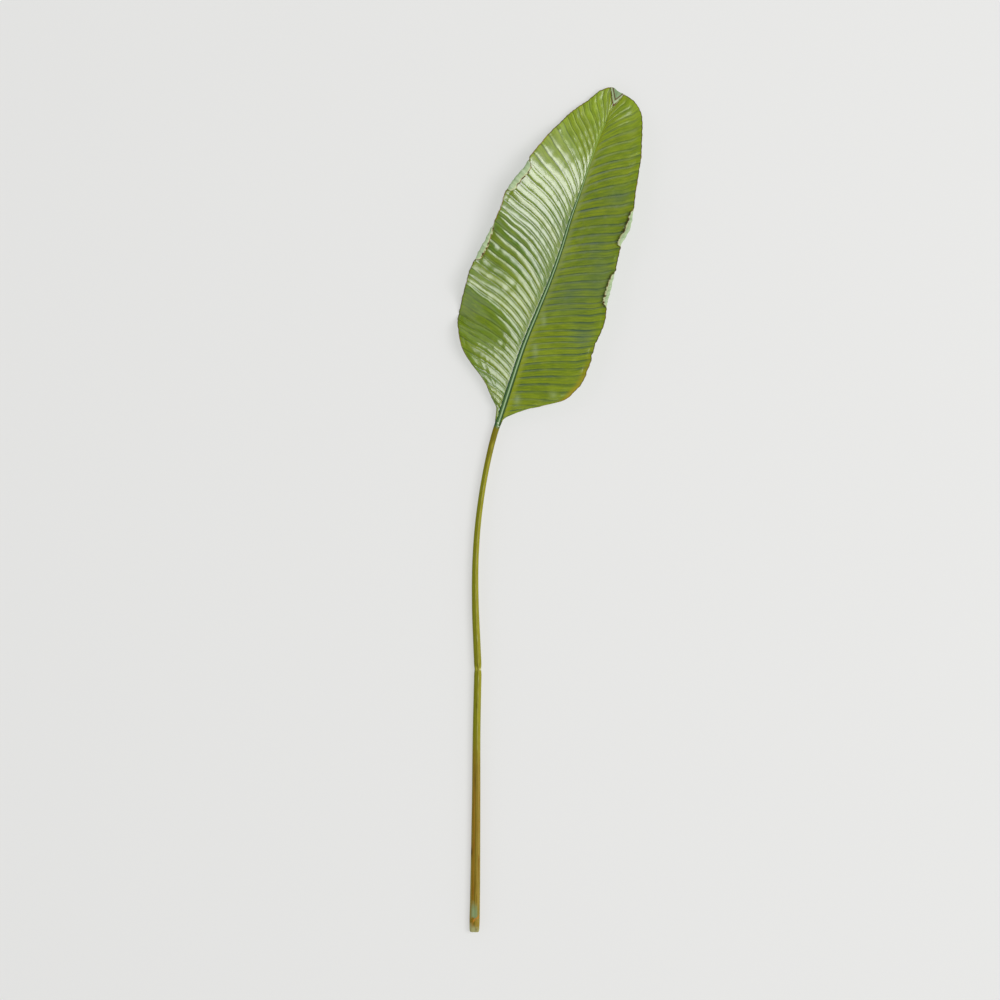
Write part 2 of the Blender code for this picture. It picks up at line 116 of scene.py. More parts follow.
# Height of each half over the midrib: share along the blade, near the midrib, further out, at the margin
LEFT_RISE = (
    (-0.012, 0.0, 0.0, 0.0), (0.05, 2.3, 4.5, 5.5), (0.09, 4.0, 7.5, 9.0), (0.13, 7.0, 11.5, 12.0),
    (0.16, 8.5, 12.5, 11.5), (0.20, 10.0, 12.0, 8.0), (0.26, 12.0, 12.0, 19.0),
    (0.34, 12.0, 15.0, 22.0), (0.44, 12.0, 19.0, 23.0), (0.52, 11.5, 20.5, 27.0),
    (0.62, 9.5, 18.0, 25.0), (0.66, 8.0, 14.0, 18.5), (0.74, 3.0, 3.0, 2.0), (0.80, 1.0, 0.0, -1.0),
    (0.86, -0.5, -2.0, -3.0), (0.94, -1.0, -2.0, -3.0), (1.0, 0.0, 0.0, 0.0),
)
RIGHT_RISE = (
    (-0.012, 0.0, 0.0, 0.0), (0.05, 4.0, 5.0, 5.0), (0.10, 6.0, 9.0, 10.0), (0.145, 7.0, 11.0, 13.0),
    (0.20, 8.0, 12.5, 15.0), (0.28, 8.5, 13.5, 17.0), (0.38, 9.0, 14.0, 17.5), (0.50, 9.0, 15.0, 19.0),
    (0.64, 8.0, 14.0, 18.0), (0.78, 6.0, 9.0, 10.0), (0.90, 2.5, 3.2, 2.5), (0.95, 1.2, 1.5, 1.0),
    (1.0, 0.0, 0.0, 0.0),
)

# How far the ribs bow towards the tip, as a share of their length
LEFT_BOW = ((-0.012, 0.10), (0.20, 0.14), (0.45, 0.19), (0.70, 0.15), (1.0, 0.0))
RIGHT_BOW = ((-0.012, 0.02), (0.20, 0.045), (0.60, 0.05), (0.85, 0.08), (1.0, 0.0))

# Swells of the margin with sharp crests along a rib: share along the blade, height, and the power of
# the share across with which they grow towards the margin
LEFT_SWELL = (
    (0.08, 0.0), (0.15, -1.5), (0.186, -13.2), (0.20, -16.15), (0.214, -13.0), (0.251, 3.5),
    (0.34, -7.0), (0.456, 8.0), (0.52, 1.0), (0.64, 1.5), (0.70, 0.0), (1.0, 0.0),
)
LEFT_SWELL_GROWTH = 1.7
RIGHT_SWELL = (
    (0.0, 0.0), (0.83, 0.0), (0.865, -3.5), (0.897, -11.9), (0.925, -3.5), (0.95, 0.0), (1.0, 0.0),
)
RIGHT_SWELL_GROWTH = 4.5

# Long waves of the margin: height, waves along the blade, where they start
LEFT_WAVES = ((0.8, 11.0, 0.35),)
RIGHT_WAVES = ((1.2, 4.5, 0.60), (0.6, 10.0, 0.15))
WAVE_GROWTH = 2.5
WAVES_FROM = 0.05
WAVES_FULL = 0.30

# Length of the edge that is rolled over on to the upper face: share along the blade, millimetres
LEFT_ROLL = (
    (0.316, 0.0), (0.326, 13.5), (0.340, 15.6), (0.356, 15.7), (0.385, 12.8), (0.408, 10.0),
    (0.420, 0.0), (0.520, 0.0), (0.530, 13.5), (0.543, 16.4), (0.612, 16.4), (0.625, 0.0), (0.945, 0.0),
    (1.000, 25.5),
)
RIGHT_ROLL = (
    (0.330, 0.0), (0.345, 12.5), (0.370, 14.1), (0.400, 14.0), (0.430, 11.0), (0.445, 0.0),
    (0.512, 0.0), (0.525, 13.0), (0.545, 15.6), (0.575, 15.0), (0.610, 11.5), (0.625, 0.0),
    (0.955, 0.0), (1.000, 25.5),
)

# All tables of a half, and the number that its uneven forms are drawn from
LEFT_SEED = 3
RIGHT_SEED = 8
LEFT_FORM = (LEFT_MARGIN, LEFT_RISE, LEFT_BOW, LEFT_SWELL, LEFT_SWELL_GROWTH)
RIGHT_FORM = (RIGHT_MARGIN, RIGHT_RISE, RIGHT_BOW, RIGHT_SWELL, RIGHT_SWELL_GROWTH)
LEFT_HALF = (*LEFT_FORM, LEFT_WAVES, LEFT_ROLL, LEFT_SEED)
RIGHT_HALF = (*RIGHT_FORM, RIGHT_WAVES, RIGHT_ROLL, RIGHT_SEED)

# The sheet bellies between its ribs: roundness, and where it is flatter, as shares across and along
PLEAT_ROUND = 0.38
PLEAT_FULL = 0.14
PLEAT_MARGIN = 0.85
PLEAT_MARGIN_LOSS = 0.35
PLEAT_HEEL = 0.3
PLEAT_HEEL_END = 0.10
PLEAT_TIP = 0.86
PLEAT_TIP_LOSS = 0.65

# Unevenness that only the fine sheet has, in millimetres or as shares; nicks by seed, as places and depths
MARGIN_ROUGH = 0.45
MARGIN_ROUGH_WAVES = (17.0, 41.0, 73.0)
NIBBLE_TIP = 0.9
ROLL_ROUGH = 0.045
ROLL_ROUGH_WAVES = (23.0, 61.0, 97.0)
NICKS = {LEFT_SEED: ((0.60, 1.0),), RIGHT_SEED: ((0.19, 1.3), (0.225, 1.5), (0.15, 0.8))}
NICK_WIDTH = 0.006
PLEAT_UNEVEN = 0.15
DIMPLES = 0.35
COLUMN_SPREAD = 1.15

# Least height of the sheet over the floor, millimetres across the sheet to one unit of its own
# coordinates, and the distance from the folded tip's edges that is past its red rim and short of its line
FLOOR_GAP = 0.02
RUN_UNIT = 150.0
NO_FOLD = 3.0

# Section of the stalk and the midrib: distance from the cut end, half width, height over the
# middle line, depth under it, depth of the groove as a share of that height
SECTION = (
    (0.0, 6.7, 5.2, 6.4, 0.20), (8.0, 7.1, 5.7, 6.7, 0.24), (46.0, 7.1, 5.8, 6.7, 0.26),
    (117.0, 6.6, 5.5, 6.3, 0.28), (188.0, 6.1, 5.1, 5.9, 0.28), (301.0, 5.5, 4.7, 5.4, 0.28),
    (443.0, 5.1, 4.3, 5.1, 0.28), (528.0, 4.5, 3.9, 4.9, 0.26), (671.0, 4.1, 3.2, 4.9, 0.22),
    (722.0, 4.3, 2.7, 5.2, 0.20), (782.0, 4.1, 2.1, 5.2, 0.16), (850.0, 3.6, 1.8, 4.7, 0.14),
    (900.0, 3.2, 1.6, 4.2, 0.12), (1000.0, 2.5, 1.35, 3.2, 0.08), (1100.0, 1.7, 1.05, 2.1, 0.0),
    (1178.0, 1.1, 0.8, 1.4, 0.0),
)
SPINE_END = 1178.0
UNDER_SQUARENESS = 0.7
UPPER_SQUARENESS = 0.85
GROOVE_ANGLE = 0.35
CREASE_AT = 373.0
CREASE_WIDTH = 4.0

# The cut end is rounded a little: distance from it and share of the full size. Rings start after that
ROUNDED_END = ((0.0, 0.86), (0.6, 0.93), (1.4, 0.97), (2.5, 0.99))
RINGS_FROM = 4.0
RINGS = 600
RING_POINTS = 40

# Where the camera stood, read from the frame of the photograph
VIEW_CENTRE = (-0.0708, 0.0135)
VIEW_WIDTH = 1.417
LEAF_LEVEL = 0.014
LENS = 100.0
SENSOR = 36.0

# Softbox: the point it faces, its angle from straight above and its bearing, distance and sizes in metres
KEY_AIM = (-0.02, 0.35, 0.0)
KEY_FROM_ZENITH = math.radians(29)
KEY_BEARING = math.radians(-5)
KEY_DISTANCE = 5.5
KEY_SIZES = (2.6, 3.4)

# The surround is bright at the sides and dim overhead, behind the camera: heights of the change
SKY_BRIGHT_UP_TO = 0.64
SKY_DIM_FROM = 0.87
SKY_DIM_SHARE = 0.05
FLOOR_HALF = 4.0
FLOOR_LINES = 9
FLOOR_LEVEL = -0.0004

# Bluish spots of the right half: x, y, half width and half height in millimetres
BLOOM_SPOTS = (
    (72.0, 345.0, 22.0, 45.0),
    (30.0, 300.0, 26.0, 22.0),
    (95.0, 440.0, 18.0, 14.0),
    (48.0, 245.0, 16.0, 16.0),
)

# Painted glints near the midrib, right half: x, y, half width and half height in millimetres
GLINT_SPOTS = (
    (-21.0, 226.0, 4.0, 9.0),
    (-46.0, 155.0, 5.0, 7.0),
    (4.8, 162.0, 5.0, 5.0),
    (-9.0, 268.0, 3.5, 8.0),
)

# Dark scars of the stalk: place along it, side from -1 to 1, half length and half width
STALK_SCARS = (
    (4.0, 0.35, 2.0, 0.12),
    (114.0, -0.88, 5.0, 0.20),
    (216.0, -0.28, 16.0, 0.12),
    (322.0, -0.2, 5.0, 0.1),
    (382.0, -0.08, 9.0, 0.13),
)

# Fresh yellow-green spots of the stalk, measured in the same way
STALK_SPOTS = (
    (305.0, 0.2, 5.0, 0.14),
    (341.0, 0.18, 4.0, 0.14),
    (374.0, -0.35, 2.5, 0.35),
    (384.0, 0.12, 4.0, 0.22),
    (668.0, 0.35, 9.0, 0.25),
    (692.0, 0.25, 5.0, 0.3),
)
MARK_STRENGTH = 0.7

# Sap beads on the stalk under the blade, x, y and radius in millimetres, the part of the stalk and the
# steps in which their place is found, and the faces round a bead and from pole to pole
BEADS = ((-73.7, 122.6, 1.15), (-72.8, 117.7, 0.95))
BEADS_WITHIN = (640.0, 760.0, 400)
BEAD_ROUND = 24
BEAD_TALL = 12

SOFT = {"interpolation_type": "SMOOTHSTEP"}


def linear(code):
    """Linear red, green and blue of an sRGB hex colour."""
    parts = [int(code[k : k + 2], 16) / 255 for k in (1, 3, 5)]
    return tuple(p / 12.92 if p <= 0.04045 else ((p + 0.055) / 1.055) ** 2.4 for p in parts)


def colour(name, description, code):
    """A colour that the user may change."""
    return FloatVectorProperty(
        name=name, description=description, default=linear(code), subtype="COLOR", size=3, min=0.0, max=1.0
    )


def length(name, description, millimetres):
    """A length that the user may change, kept in metres."""
    return amount(name, description, millimetres * MM, unit="LENGTH", subtype="DISTANCE")


def whole(name, description, number, least):
    """A whole number that the user may change."""
    return IntProperty(name=name, description=description, default=number, min=least)


def amount(name, description, number, **limits):
    """A plain number that the user may change, not under zero."""
    return FloatProperty(name=name, description=description, default=number, min=0.0, **limits)


class LeafSizes(bpy.types.PropertyGroup):
    """Sizes of the leaf that may be changed without changing its outline."""

    thickness: length("Blade thickness", "Thickness of the blade sheet", 0.7)
    pleat: length("Pleat depth", "Height of the sheet between two ribs", 1.15)
    rows_per_rib: whole("Rows per rib", "Rows of the blade mesh from rib to rib", 7, 2)
    main_columns: whole("Columns", "Columns from the midrib to the margin", 36, 8)
    roll_columns: whole("Roll columns", "Columns over the rolled margin", 20, 6)
    crease: amount("Stalk crease", "Depth of the old fold across the stalk", 0.13, subtype="FACTOR", max=0.5)


class LeafColours(bpy.types.PropertyGroup):
    """Colours of the leaf."""

    blade: colour("Blade, right", "Green between the ribs of the right half", "#83980C")
    # Painted shade: the left half is darker, standing in for the parts that turn from the lamp
    blade_left_shaded: colour("Blade, left", "Green between the ribs of the left half", "#62861E")
    blade_tip: colour("Blade near the tip", "Younger green near the tip", "#A2BE30")
    blade_light: colour("Blade, lighter bands", "Yellow-green of the lighter bands", "#A0AC1A")
    # The right half's ribs are widened by painted shade into soft stripes
    rib: colour("Ribs, right", "Sunken ribs of the right half, blue-green", "#3D5A40")
    rib_left: colour("Ribs, left", "Sunken ribs of the left half, dark olive", "#44581F")
    bloom: colour("Blue bloom", "Bluish bloom on the outer right half", "#5E775A")
    # Painted shade: dark lines along both sides of the midrib and at its foot
    midrib_shade_line: colour("Lines beside the midrib", "Dark lines on both sides of the midrib", "#2F4F3C")
    dry: colour("Dry margin", "Brown edge where the blade has dried", "#4E420C")
    warm: colour("Turning margin", "Yellow-orange margin that starts to turn", "#AE9428")
    underside: colour("Underside", "Pale matt underside of the turned margins", "#B6CB9A")
    underside_deep: colour("Underside, older", "Greyer underside away from its margin", "#86A076")
    # The pale midrib line is its own paler colour with a painted highlight on it
    midrib: colour("Midrib", "Pale line along the midrib", "#A8C298")
    midrib_side: colour("Midrib, sides", "Grey-green sides of the midrib", "#4E6E38")
    # The stalk's flanks are lit and shaded copies: painted shade left of the groove, painted light right of
    # it
    stalk_shaded_flank: colour("Stalk, left of the groove", "Olive flank of the stalk", "#787C00")
    stalk_lit_flank: colour("Stalk, right of the groove", "Lighter flank of the stalk", "#A3A02C")
    stalk_low: colour("Lower stalk", "Browner olive of the older stalk", "#8E6C16")
    stalk_low_lit_flank: colour("Lower stalk, right of the groove", "Lighter brown olive", "#A38A38")
    cut: colour("Cut end", "Pale pith of the cut end", "#D9DCB4")


class StageSettings(bpy.types.PropertyGroup):
    """Floor, light and camera."""

    floor: colour("Floor", "Matt pale floor", "#989897")
    floor_glow: amount("Floor light", "Light that comes up through the floor", 1.63)
    key_power: amount("Key light", "Power of the softbox on the right", 180.0, unit="POWER")
    sky: amount("Surround", "Brightness of the white surround", 0.68)


def smooth(table, at):
    """Smooth curve through the rows of a table, whose first column says where each row stands.

    Between two rows it is the cubic that starts and ends on them with the slope of their neighbours.
    """
    rows = np.array(table, float)
    knots = rows[:, 0]
    values = rows[:, 1:]
    slopes = np.gradient(values, knots, axis=0)
    at = np.clip(np.asarray(at, float), knots[0], knots[-1])
    i = np.clip(np.searchsorted(knots, at, side="right") - 1, 0, len(knots) - 2)
    gap = (knots[i + 1] - knots[i])[..., None]
    f = (at - knots[i])[..., None] / gap
    start = values[i] * (1 + 2 * f) * (1 - f) ** 2 + slopes[i] * gap * f * (1 - f) ** 2
    end = values[i + 1] * f * f * (3 - 2 * f) - slopes[i + 1] * gap * f * f * (1 - f)
    return start + end


def ease(low, high, x):
    """Rises from 0 at low to 1 at high with level ends."""
    f = np.clip((x - low) / (high - low), 0.0, 1.0)
    return f * f * (3 - 2 * f)


def hump(x, at, width):
    """Smooth hump of height one at a place, down to 1/e at its half width on both sides."""
    return np.exp(-(((x - at) / width) ** 2))


def round_spots(x, y, spots):
    """Sum of soft round spots, each with its place and its half sizes in both directions."""
    return sum(hump(x, a, wide) * hump(y, b, tall) for a, b, wide, tall in spots)


def unit(vectors):
    """The same directions with length one."""
    return vectors / np.maximum(np.linalg.norm(vectors, axis=-1, keepdims=True), 1e-12)


def spine(distance):
    """Point of the middle line at a distance in millimetres from the cut end."""
    points = np.array(SPINE)
    steps = np.linalg.norm(np.diff(points, axis=0), axis=1)
    gone = np.concatenate([[0.0], np.cumsum(steps)])
    return smooth(np.column_stack([gone, points]), distance)


def wobble(x, seed, waves=(1.0, 2.3, 5.1)):
    """Sum of three sines with drawn starts, between about -1 and 1: a smooth unevenness."""
    starts = np.random.default_rng(seed).uniform(0, 2 * math.pi, len(waves))
    return sum(np.sin(2 * math.pi * w * x + s) for w, s in zip(waves, starts)) / len(waves) * 1.4


def half_blade(sizes, margin, rise, bow, swell, growth, waves, roll, seed):
    """Middle surface of one half of the blade, with what the materials need to know at each point.

    Each rib is a curve from the midrib to the margin, bowed towards the tip by its bow, hooked at its
    end and lifted by a cubic through its three heights, from the side of the midrib on. The swells and
    waves of the margin are added in proportion to a power of the share across. Near the margin the
    sheet runs straight on, then round an arc, then back over itself for as long as the roll lasts. The
    sheet bellies between its ribs by the root of a sine.
    """
    count = RIBS * sizes.rows_per_rib
    ribs = np.linspace(0.0, RIBS, count + 1)
    places = np.array(RIB_PLACES)
    u = np.interp(ribs, places[:, 1], places[:, 0])
    u = np.concatenate([[BLADE_HEEL], u])[:, None]
    ribs = np.concatenate([[0.0], ribs])[:, None]
    crowd = TIP_CROWD * np.clip((u - TIP_CROWD_FROM) / (1 - TIP_CROWD_FROM), 0, 1) ** 2
    along_mm = BLADE_START + BLADE_LENGTH * (u - crowd)
    root = spine(along_mm)
    edge = smooth(margin, u)
    along = unit(np.gradient(edge[:, 0], axis=0))[:, None]
    reach = edge - root[..., :2]
    width = np.linalg.norm(reach, axis=-1)
    nibbled = MARGIN_ROUGH * wobble(ribs / RIBS, seed + 20, MARGIN_ROUGH_WAVES) * ease(1.0, NIBBLE_TIP, u)
    for place, depth in NICKS[seed]:
        nibbled = nibbled - depth * hump(u, place, NICK_WIDTH)
    edge = edge + reach / width[..., None] * nibbled[..., None]
    reach = edge - root[..., :2]
    width = np.linalg.norm(reach, axis=-1)
    towards_tip = np.stack([-reach[..., 1], reach[..., 0]], axis=-1) / width[..., None]
    forward = np.sign(np.sum(towards_tip * along, axis=-1, keepdims=True))
    bend = (root[..., :2] + edge) / 2 + towards_tip * forward * smooth(bow, u) * width[..., None]
    hook = np.minimum(RIB_HOOK, HOOK_SHARE * width)[..., None]
    heights = smooth(rise, u)
    ridge = smooth(SECTION, along_mm[:, 0])[:, :1]
    swell_at, swell_height = np.array(swell).T

    def surface(t):
        s = t[..., None]
        flat = root[..., :2] * (1 - s) ** 2 + bend * 2 * s * (1 - s) + (edge - hook * along) * s * s
        flat = flat + hook * along * ease(HOOK_FROM, 1.0, s) * s
        near, far, end = (heights[..., k] for k in range(3))
        free = np.clip((t * width - ridge) / (width - ridge), 0, 1)
        lift = 3 * (1 - free) ** 2 * free * near + 3 * (1 - free) * free * free * far + free**3 * end
        lift = lift + np.interp(u, swell_at, swell_height) * free**growth
        for height, number, start in waves:
            wave = np.sin(2 * math.pi * (number * u + start)) * ease(WAVES_FROM, WAVES_FULL, u)
            lift = lift + height * wave * free**WAVE_GROWTH
        return np.concatenate([flat, (root[..., 2] + lift)[..., None]], axis=-1)

    radius = np.interp(u, (TIGHT_FROM, TIGHT_TO), (CURL_RADIUS, TIP_RADIUS))
    roll_at, roll_length = np.array(roll).T
    past = np.interp(u, roll_at, roll_length)
    past = past * (1 + ROLL_ROUGH * wobble(ribs / RIBS, seed + 40, ROLL_ROUGH_WAVES))
    inset = radius * np.sin(np.minimum(past / radius, math.pi / 2))
    band = np.minimum(MARGIN_BAND, BAND_SHARE * width)
    last = 1 - (band + inset) / width
    main = np.linspace(0.0, 1.0, sizes.main_columns)[None, :-1] ** COLUMN_SPREAD * last
    share = np.linspace(0.0, 1.0, sizes.roll_columns)[None]
    travel = (band + past) * share
    flat_t = 1 - (inset + np.maximum(band - travel, 0)) / width
    t = np.concatenate([main, flat_t], axis=1)
    points = surface(t)

    start = surface(1 - inset / width)
    out = unit(start - surface(1 - inset / width - LOOK_BACK))
    out = unit(out + (np.array(TIP_OUT) - out) * ease(TIGHT_FROM, TIGHT_TO, u)[..., None])
    side = unit(np.gradient(start[:, 0], axis=0))[:, None]
    up = np.cross(out, side)
    up = unit(up * np.sign(up[..., 2:]))
    beyond = np.maximum(travel - band, 0)[..., None]
    bend_radius = radius[..., None]
    angle = np.minimum(beyond / bend_radius, CURL_TURN)
    ahead = np.maximum(beyond - bend_radius * CURL_TURN, 0)
    forth = bend_radius * np.sin(angle) + ahead * np.cos(angle)
    aloft = bend_radius * (1 - np.cos(angle)) + ahead * np.sin(angle)
    columns = slice(sizes.main_columns - 1, None)
    rolled = start + out * forth + up * aloft
    points[:, columns] = np.where(beyond > 0, rolled, points[:, columns])
    flap = np.zeros(t.shape)
    flap[:, columns] = angle[..., 0] > math.pi / 2

    across = np.minimum(t, 1.0)
    grown = ease(0.0, PLEAT_FULL, across) * (1 - PLEAT_MARGIN_LOSS * ease(PLEAT_MARGIN, 1.0, across))
    heel = PLEAT_HEEL + (1 - PLEAT_HEEL) * ease(0.0, PLEAT_HEEL_END, u)
    fade = heel * (1 - PLEAT_TIP_LOSS * ease(PLEAT_TIP, 1.0, u))
    uneven = 1 + PLEAT_UNEVEN * wobble(ribs / RIBS * 3 + across, seed)
    belly = np.abs(np.sin(math.pi * ribs)) ** PLEAT_ROUND
    pleat = sizes.pleat / MM * grown * fade * uneven * belly
    blotch = wobble(ribs / RIBS * 4 + across * 1.3, seed + 60)
    blotch = blotch * wobble(across * 2.2 - ribs / RIBS * 2, seed + 61)
    pleat = pleat + DIMPLES * blotch * ease(0.03, 0.3, across) * (1 - ease(0.6, 0.85, u))

    step = np.linalg.norm(np.diff(points, axis=1), axis=-1)
    gone = np.concatenate([np.zeros((len(u), 1)), np.cumsum(step, axis=1)], axis=1)
    return {
        "points": points,
        "pleat": pleat,
        "rib": np.broadcast_to(ribs, t.shape),
        "gone": gone,
        "edge": gone[:, -1:] - gone,
        "flap": flap,
        "ridge": gone - ridge,
        "share": np.broadcast_to(u, t.shape),
    }


def grid_normals(points):
    """Direction square to a grid of points: its two sets of neighbour steps crossed."""
    return unit(np.cross(np.gradient(points, axis=0), np.gradient(points, axis=1)))


def grid_faces(rows, columns, first=0):
    """Four corners of each cell of a grid whose points are numbered row by row."""
    r, c = np.meshgrid(np.arange(rows - 1), np.arange(columns - 1), indexing="ij")
    a = (first + r * columns + c).reshape(-1)
    return np.stack([a, a + columns, a + columns + 1, a + 1], axis=1)


def mesh_object(name, points, faces, materials, slots=None, attributes=None, uv=None):
    """Smooth mesh object at the origin from arrays: points in metres, faces of three or four corners."""
    mesh = bpy.data.meshes.new(name)
    mesh.from_pydata(points.tolist(), [], faces if isinstance(faces, list) else faces.tolist())
    for material in materials:
        mesh.materials.append(material)
    if slots is not None:
        mesh.polygons.foreach_set("material_index", np.asarray(slots, np.int32))
    mesh.polygons.foreach_set("use_smooth", np.ones(len(mesh.polygons), bool))
    for key, values in (attributes or {}).items():
        layer = mesh.attributes.new(key, "FLOAT", "POINT")
        layer.data.foreach_set("value", np.asarray(values, np.float32).reshape(-1))
    if uv is not None:
        corners = np.empty(len(mesh.loops), np.int32)
        mesh.loops.foreach_get("vertex_index", corners)
        layer = mesh.uv_layers.new(name="grown")
        layer.data.foreach_set("uv", uv[corners].astype(np.float32).reshape(-1))
    mesh.update()
    mesh.validate()
    piece = bpy.data.objects.new(name, mesh)
    bpy.context.scene.collection.objects.link(piece)
    return piece


def keep(piece):
    """Ties a finished piece to the leaf that it stands for."""
    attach(piece, BODY)
    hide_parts(NODE)


def fill(tree, node, links):
    """Sets the inputs of a node by name or number: a socket is linked, anything else is its value."""
    for key, value in links.items():
        socket = node.inputs[key]
        if isinstance(value, bpy.types.NodeSocket):
            tree.links.new(value, socket)
        elif socket.type == "RGBA":
            socket.default_value = (*tuple(value)[:3], 1.0)
        else:
            socket.default_value = value


def add(tree, kind, links=None, out=0, **settings):
    """Adds one node with its settings and links, and gives the output that is asked for."""
    node = tree.nodes.new("ShaderNode" + kind)
    for key, value in settings.items():
        setattr(node, key, value)
    fill(tree, node, links or {})
    return node.outputs[out]


def new_material(name):
    """Material with one shader; returns the material, its tree and the shader."""
    material = bpy.data.materials.new(name)
    material.use_nodes = True
    tree = material.node_tree
    return material, tree, tree.nodes["Principled BSDF"]


def laid_over(tree, base, *layers):
    """Colours laid over one another in order: each is a colour and the shares that limit it, multiplied.

    A share in brackets is a soft change with a value: the value, where it starts and ends, and the
    shares there.
    """
    for over, *limits in layers:
        over = linear(over) if isinstance(over, str) else over
        share = None
        for limit in limits:
            if isinstance(limit, tuple):
                limit = add(tree, "MapRange", dict(enumerate(limit)), **SOFT)
            share = limit if share is None else add(tree, "Math", {0: share, 1: limit}, operation="MULTIPLY")
        base = add(tree, "Mix", {0: share, 6: base, 7: over}, 2, data_type="RGBA")
    return base


def drawn_line(tree, value, at, inner, outer, most, least=0.0):
    """Share of a line where a value is near a number: most up to inner away from it, least from outer on."""
    away = add(tree, "Math", {0: value, 1: -at}, operation="ADD")
    away = add(tree, "Math", {0: away}, operation="ABSOLUTE")
    return add(tree, "MapRange", {0: away, 1: inner, 2: outer, 3: most, 4: least}, **SOFT)


def sheet_place(tree):
    """Coordinates that follow the sheet: place on the strip, rib number and run across, as numbers."""
    parts = add(tree, "SeparateXYZ", {0: add(tree, "UVMap", uv_map="grown")})
    number = add(tree, "Math", {0: parts, 1: 2.0 * RIBS}, operation="MULTIPLY")
    return parts, number, parts.node.outputs[1]


def sheet_noise(tree, number, run, per_rib, per_run, detail=2.0):
    """Noise stretched along the ribs: per_rib spots from rib to rib, per_run along the blade's width."""
    along = add(tree, "Math", {0: number, 1: per_rib}, operation="MULTIPLY")
    out = add(tree, "Math", {0: run, 1: per_run}, operation="MULTIPLY")
    place = add(tree, "CombineXYZ", {0: along, 1: out})
    return add(tree, "TexNoise", {"Vector": place, "Scale": 1.0, "Detail": detail})


def to_vein(tree, number, per_rib, shift=0.0):
    """Distance to the nearest of the veins that stand per_rib to a rib gap: 0 on one, 0.5 between two."""
    count = add(tree, "Math", {0: number, 1: per_rib, 2: shift}, operation="MULTIPLY_ADD")
    return add(tree, "Math", {0: count, 1: 0.5}, operation="PINGPONG")


